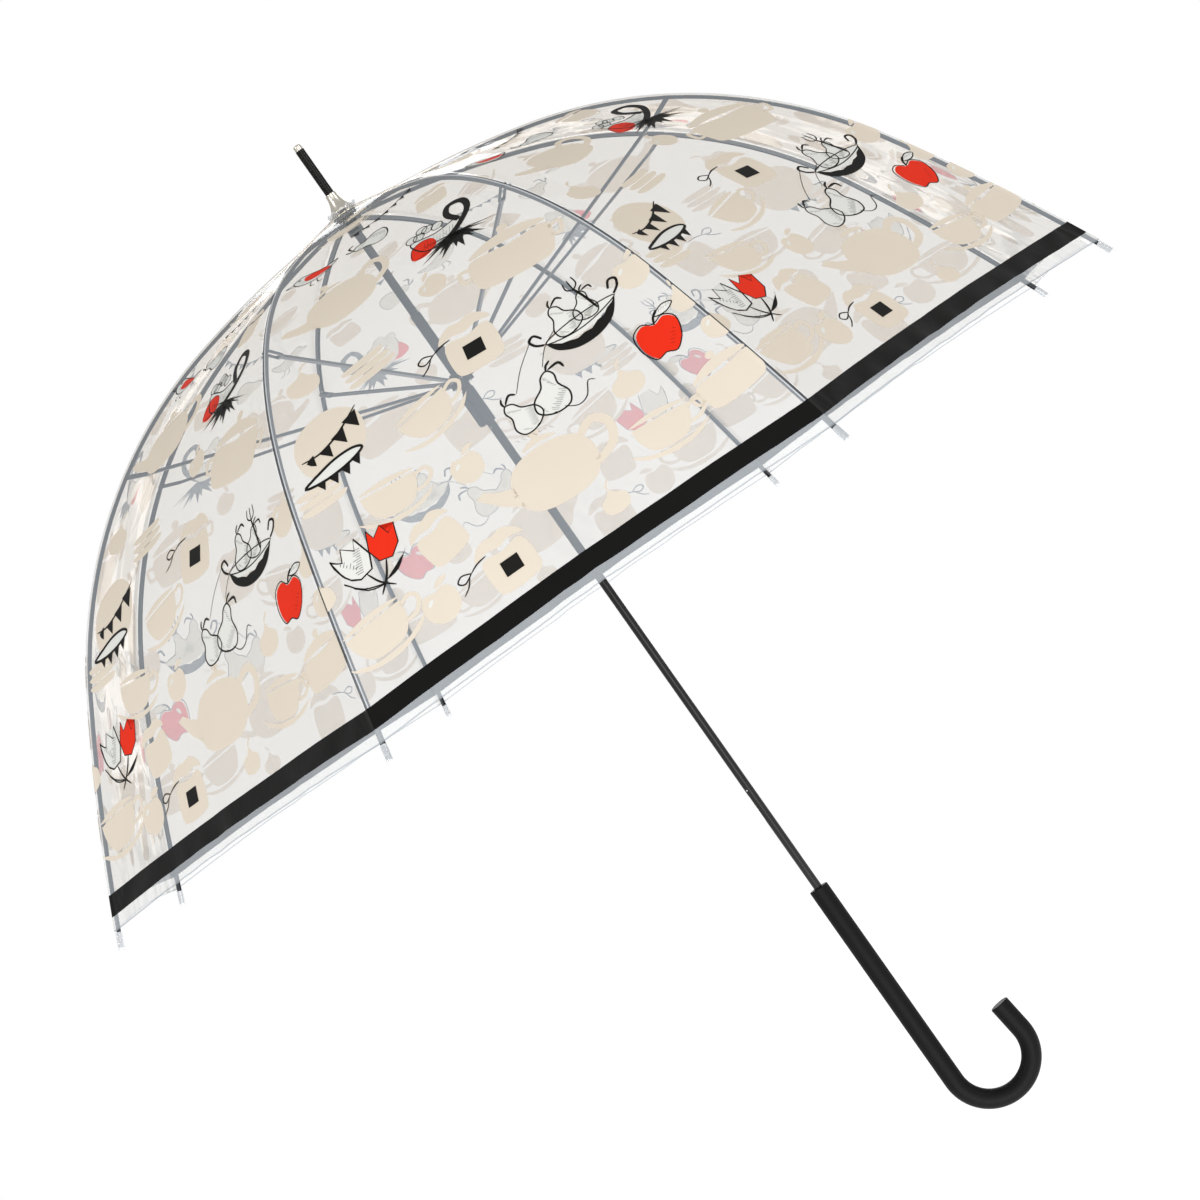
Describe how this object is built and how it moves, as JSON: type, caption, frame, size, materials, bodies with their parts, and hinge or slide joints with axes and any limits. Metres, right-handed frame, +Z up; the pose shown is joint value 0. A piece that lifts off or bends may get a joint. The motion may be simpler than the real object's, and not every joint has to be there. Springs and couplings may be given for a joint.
{
  "type": "clear bubble umbrella",
  "caption": "Open clear dome umbrella with a J-hook handle, slim shaft, sliding runner and folding ribs and stretchers under a film canopy with a dark band above its hem.",
  "frame": {"origin": "on the shaft's axis, half way down the straight grip of the handle", "axes": "+Z up the shaft towards the ferrule, +X the way the handle's hook turns"},
  "size_m": [0.8404, 0.8403, 0.8856],
  "materials": {
    "shaft_enamel": "gloss black enamel on steel tube",
    "frame_steel": "black electrophoretic coat on steel channel",
    "spring_steel": "bright spring steel wire and strip",
    "cap_metal": "polished champagne-coloured aluminium",
    "ferrule_plastic": "gloss black moulded plastic",
    "runner_plastic": "black moulded nylon",
    "clear_fitting": "clear moulded plastic",
    "canopy_film": "clear soft film, slightly milky, printed and with a black band above its hem",
    "handle_soft_touch": "black plastic with a soft-touch coat"
  },
  "bodies": {
    "frame": {"shaft": "shaft_enamel", "catch_pins": "spring_steel", "upper_stop": "spring_steel", "top_notch": "runner_plastic", "notch_wire": "spring_steel", "inner_washer": "cap_metal", "canopy_washer": "clear_fitting", "crown_cap": "cap_metal", "ferrule": "ferrule_plastic", "ferrule_tip": "cap_metal", "handle": "handle_soft_touch", "canopy_panel_1": "canopy_film", "canopy_panel_2": "canopy_film", "canopy_panel_3": "canopy_film", "canopy_panel_4": "canopy_film", "canopy_panel_5": "canopy_film", "canopy_panel_6": "canopy_film", "canopy_panel_7": "canopy_film", "canopy_panel_8": "canopy_film"},
    "runner": {"runner_sleeve": "runner_plastic", "runner_crown": "runner_plastic", "runner_collar": "runner_plastic", "runner_wire": "spring_steel"},
    "upper_catch": {"upper_catch": "spring_steel"},
    "lower_catch": {"lower_catch": "spring_steel"},
    "rib_upper_1": {"rib_upper_1": "frame_steel"},
    "rib_lower_1": {"rib_lower_1": "frame_steel", "rib_tip_1": "clear_fitting"},
    "stretcher_1": {"stretcher_1": "frame_steel"},
    "rib_upper_2": {"rib_upper_2": "frame_steel"},
    "rib_lower_2": {"rib_lower_2": "frame_steel", "rib_tip_2": "clear_fitting"},
    "stretcher_2": {"stretcher_2": "frame_steel"},
    "rib_upper_3": {"rib_upper_3": "frame_steel"},
    "rib_lower_3": {"rib_lower_3": "frame_steel", "rib_tip_3": "clear_fitting"},
    "stretcher_3": {"stretcher_3": "frame_steel"},
    "rib_upper_4": {"rib_upper_4": "frame_steel"},
    "rib_lower_4": {"rib_lower_4": "frame_steel", "rib_tip_4": "clear_fitting"},
    "stretcher_4": {"stretcher_4": "frame_steel"},
    "rib_upper_5": {"rib_upper_5": "frame_steel"},
    "rib_lower_5": {"rib_lower_5": "frame_steel", "rib_tip_5": "clear_fitting"},
    "stretcher_5": {"stretcher_5": "frame_steel"},
    "rib_upper_6": {"rib_upper_6": "frame_steel"},
    "rib_lower_6": {"rib_lower_6": "frame_steel", "rib_tip_6": "clear_fitting"},
    "stretcher_6": {"stretcher_6": "frame_steel"},
    "rib_upper_7": {"rib_upper_7": "frame_steel"},
    "rib_lower_7": {"rib_lower_7": "frame_steel", "rib_tip_7": "clear_fitting"},
    "stretcher_7": {"stretcher_7": "frame_steel"},
    "rib_upper_8": {"rib_upper_8": "frame_steel"},
    "rib_lower_8": {"rib_lower_8": "frame_steel", "rib_tip_8": "clear_fitting"},
    "stretcher_8": {"stretcher_8": "frame_steel"}
  },
  "joints": [
    {"name": "runner_slide", "type": "slide", "parent": "frame", "child": "runner", "axis": [0, 0, -1], "range_m": [0, 0.37145], "deforming": ["canopy_panel_1", "canopy_panel_2", "canopy_panel_3", "canopy_panel_4", "canopy_panel_5", "canopy_panel_6", "canopy_panel_7", "canopy_panel_8"]},
    {"name": "rib_fold_1", "type": "hinge", "parent": "frame", "child": "rib_upper_1", "pos_m": [0.00702, 0.00291, 0.692], "axis": [-0.3827, 0.9239, 0], "range_deg": [-0.5, 74.32]},
    {"name": "rib_flex_1", "type": "hinge", "parent": "rib_upper_1", "child": "rib_lower_1", "pos_m": [0.23547, 0.09754, 0.62025], "axis": [0.3827, -0.9239, 0], "range_deg": [-0.5, 39.19]},
    {"name": "stretcher_fold_1", "type": "hinge", "parent": "rib_upper_1", "child": "stretcher_1", "pos_m": [0.23547, 0.09754, 0.62025], "axis": [0.3827, -0.9239, 0], "range_deg": [-0.5, 148.14]},
    {"name": "rib_fold_2", "type": "hinge", "parent": "frame", "child": "rib_upper_2", "pos_m": [0.00291, 0.00702, 0.692], "axis": [-0.9239, 0.3827, 0], "range_deg": [-0.5, 74.32]},
    {"name": "rib_flex_2", "type": "hinge", "parent": "rib_upper_2", "child": "rib_lower_2", "pos_m": [0.09754, 0.23547, 0.62025], "axis": [0.9239, -0.3827, 0], "range_deg": [-0.5, 39.19]},
    {"name": "stretcher_fold_2", "type": "hinge", "parent": "rib_upper_2", "child": "stretcher_2", "pos_m": [0.09754, 0.23547, 0.62025], "axis": [0.9239, -0.3827, 0], "range_deg": [-0.5, 148.14]},
    {"name": "rib_fold_3", "type": "hinge", "parent": "frame", "child": "rib_upper_3", "pos_m": [-0.00291, 0.00702, 0.692], "axis": [-0.9239, -0.3827, 0], "range_deg": [-0.5, 74.32]},
    {"name": "rib_flex_3", "type": "hinge", "parent": "rib_upper_3", "child": "rib_lower_3", "pos_m": [-0.09754, 0.23547, 0.62025], "axis": [0.9239, 0.3827, 0], "range_deg": [-0.5, 39.19]},
    {"name": "stretcher_fold_3", "type": "hinge", "parent": "rib_upper_3", "child": "stretcher_3", "pos_m": [-0.09754, 0.23547, 0.62025], "axis": [0.9239, 0.3827, 0], "range_deg": [-0.5, 148.14]},
    {"name": "rib_fold_4", "type": "hinge", "parent": "frame", "child": "rib_upper_4", "pos_m": [-0.00702, 0.00291, 0.692], "axis": [-0.3827, -0.9239, 0], "range_deg": [-0.5, 74.32]},
    {"name": "rib_flex_4", "type": "hinge", "parent": "rib_upper_4", "child": "rib_lower_4", "pos_m": [-0.23547, 0.09754, 0.62025], "axis": [0.3827, 0.9239, 0], "range_deg": [-0.5, 39.19]},
    {"name": "stretcher_fold_4", "type": "hinge", "parent": "rib_upper_4", "child": "stretcher_4", "pos_m": [-0.23547, 0.09754, 0.62025], "axis": [0.3827, 0.9239, 0], "range_deg": [-0.5, 148.14]},
    {"name": "rib_fold_5", "type": "hinge", "parent": "frame", "child": "rib_upper_5", "pos_m": [-0.00702, -0.00291, 0.692], "axis": [0.3827, -0.9239, 0], "range_deg": [-0.5, 74.32]},
    {"name": "rib_flex_5", "type": "hinge", "parent": "rib_upper_5", "child": "rib_lower_5", "pos_m": [-0.23547, -0.09754, 0.62025], "axis": [-0.3827, 0.9239, 0], "range_deg": [-0.5, 39.19]},
    {"name": "stretcher_fold_5", "type": "hinge", "parent": "rib_upper_5", "child": "stretcher_5", "pos_m": [-0.23547, -0.09754, 0.62025], "axis": [-0.3827, 0.9239, 0], "range_deg": [-0.5, 148.14]},
    {"name": "rib_fold_6", "type": "hinge", "parent": "frame", "child": "rib_upper_6", "pos_m": [-0.00291, -0.00702, 0.692], "axis": [0.9239, -0.3827, 0], "range_deg": [-0.5, 74.32]},
    {"name": "rib_flex_6", "type": "hinge", "parent": "rib_upper_6", "child": "rib_lower_6", "pos_m": [-0.09754, -0.23547, 0.62025], "axis": [-0.9239, 0.3827, 0], "range_deg": [-0.5, 39.19]},
    {"name": "stretcher_fold_6", "type": "hinge", "parent": "rib_upper_6", "child": "stretcher_6", "pos_m": [-0.09754, -0.23547, 0.62025], "axis": [-0.9239, 0.3827, 0], "range_deg": [-0.5, 148.14]},
    {"name": "rib_fold_7", "type": "hinge", "parent": "frame", "child": "rib_upper_7", "pos_m": [0.00291, -0.00702, 0.692], "axis": [0.9239, 0.3827, 0], "range_deg": [-0.5, 74.32]},
    {"name": "rib_flex_7", "type": "hinge", "parent": "rib_upper_7", "child": "rib_lower_7", "pos_m": [0.09754, -0.23547, 0.62025], "axis": [-0.9239, -0.3827, 0], "range_deg": [-0.5, 39.19]},
    {"name": "stretcher_fold_7", "type": "hinge", "parent": "rib_upper_7", "child": "stretcher_7", "pos_m": [0.09754, -0.23547, 0.62025], "axis": [-0.9239, -0.3827, 0], "range_deg": [-0.5, 148.14]},
    {"name": "rib_fold_8", "type": "hinge", "parent": "frame", "child": "rib_upper_8", "pos_m": [0.00702, -0.00291, 0.692], "axis": [0.3827, 0.9239, 0], "range_deg": [-0.5, 74.32]},
    {"name": "rib_flex_8", "type": "hinge", "parent": "rib_upper_8", "child": "rib_lower_8", "pos_m": [0.23547, -0.09754, 0.62025], "axis": [-0.3827, -0.9239, 0], "range_deg": [-0.5, 39.19]},
    {"name": "stretcher_fold_8", "type": "hinge", "parent": "rib_upper_8", "child": "stretcher_8", "pos_m": [0.23547, -0.09754, 0.62025], "axis": [-0.3827, -0.9239, 0], "range_deg": [-0.5, 148.14]},
    {"name": "upper_catch_press", "type": "hinge", "parent": "frame", "child": "upper_catch", "pos_m": [-0.0019, 0, 0.5055], "axis": [0, 1, 0], "range_deg": [0, 6], "stiffness_Nm_per_rad": 0.05, "springref_deg": -11.46},
    {"name": "lower_catch_press", "type": "hinge", "parent": "frame", "child": "lower_catch", "pos_m": [-0.0019, 0, 0.177], "axis": [0, -1, 0], "range_deg": [0, 6], "stiffness_Nm_per_rad": 0.05, "springref_deg": -11.46}
  ],
  "couplings": [
    {"joint": "rib_fold_1", "follows": "runner_slide", "rad_per_m": 3.4686},
    {"joint": "rib_flex_1", "follows": "runner_slide", "rad_per_m": 1.818},
    {"joint": "stretcher_fold_1", "follows": "runner_slide", "rad_per_m": 6.9371},
    {"joint": "rib_fold_2", "follows": "runner_slide", "rad_per_m": 3.4686},
    {"joint": "rib_flex_2", "follows": "runner_slide", "rad_per_m": 1.818},
    {"joint": "stretcher_fold_2", "follows": "runner_slide", "rad_per_m": 6.9371},
    {"joint": "rib_fold_3", "follows": "runner_slide", "rad_per_m": 3.4686},
    {"joint": "rib_flex_3", "follows": "runner_slide", "rad_per_m": 1.818},
    {"joint": "stretcher_fold_3", "follows": "runner_slide", "rad_per_m": 6.9371},
    {"joint": "rib_fold_4", "follows": "runner_slide", "rad_per_m": 3.4686},
    {"joint": "rib_flex_4", "follows": "runner_slide", "rad_per_m": 1.818},
    {"joint": "stretcher_fold_4", "follows": "runner_slide", "rad_per_m": 6.9371},
    {"joint": "rib_fold_5", "follows": "runner_slide", "rad_per_m": 3.4686},
    {"joint": "rib_flex_5", "follows": "runner_slide", "rad_per_m": 1.818},
    {"joint": "stretcher_fold_5", "follows": "runner_slide", "rad_per_m": 6.9371},
    {"joint": "rib_fold_6", "follows": "runner_slide", "rad_per_m": 3.4686},
    {"joint": "rib_flex_6", "follows": "runner_slide", "rad_per_m": 1.818},
    {"joint": "stretcher_fold_6", "follows": "runner_slide", "rad_per_m": 6.9371},
    {"joint": "rib_fold_7", "follows": "runner_slide", "rad_per_m": 3.4686},
    {"joint": "rib_flex_7", "follows": "runner_slide", "rad_per_m": 1.818},
    {"joint": "stretcher_fold_7", "follows": "runner_slide", "rad_per_m": 6.9371},
    {"joint": "rib_fold_8", "follows": "runner_slide", "rad_per_m": 3.4686},
    {"joint": "rib_flex_8", "follows": "runner_slide", "rad_per_m": 1.818},
    {"joint": "stretcher_fold_8", "follows": "runner_slide", "rad_per_m": 6.9371}
  ]
}
